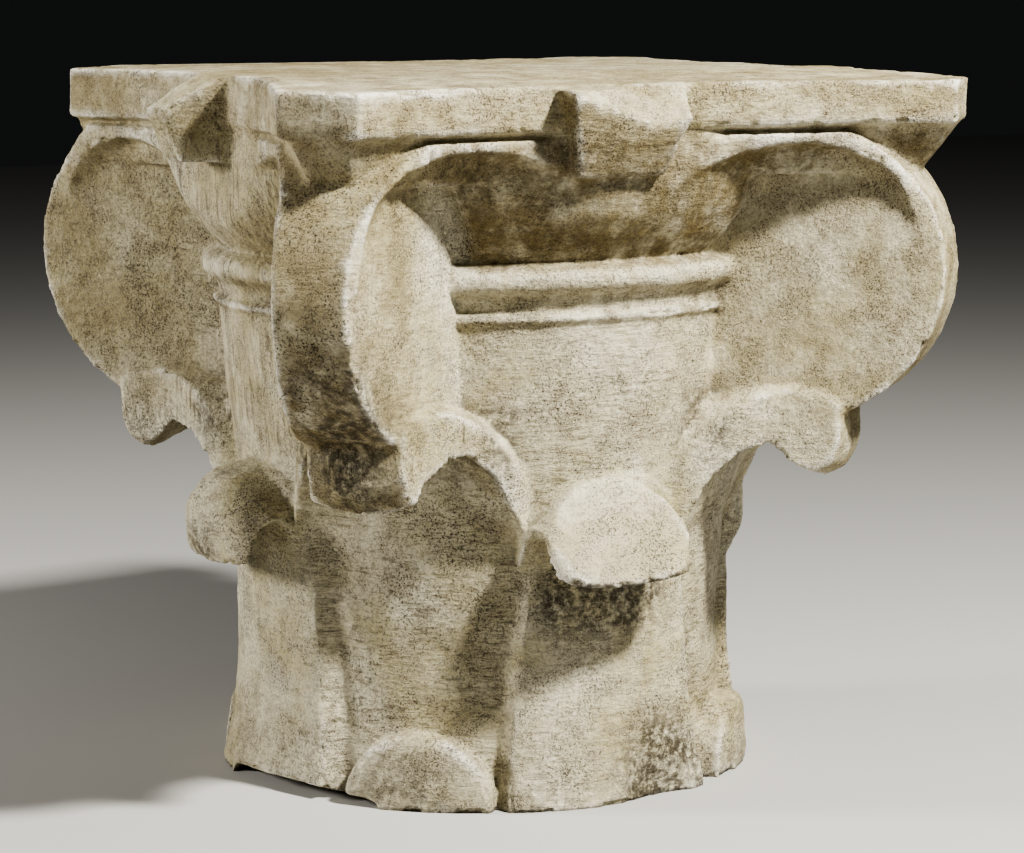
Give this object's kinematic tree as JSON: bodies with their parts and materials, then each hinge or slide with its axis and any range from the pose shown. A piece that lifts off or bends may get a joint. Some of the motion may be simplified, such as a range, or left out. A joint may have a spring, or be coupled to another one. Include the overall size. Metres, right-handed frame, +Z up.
{
  "type": "marble capital",
  "caption": "Carved marble column capital with plain blocked-out leaves, corner volutes and a hollow-sided abacus; it stands on a column shaft and carries a beam or arch.",
  "frame": {"origin": "centre of the lower bed, where the capital sits on the shaft", "axes": "+Z up through the block to the upper bed; the best kept face looks along -Y"},
  "size_m": [0.499, 0.4962, 0.476],
  "materials": {
    "marble": "worn, matt, with ochre patina"
  },
  "bodies": {
    "root": {"capital": "marble"}
  },
  "joints": []
}
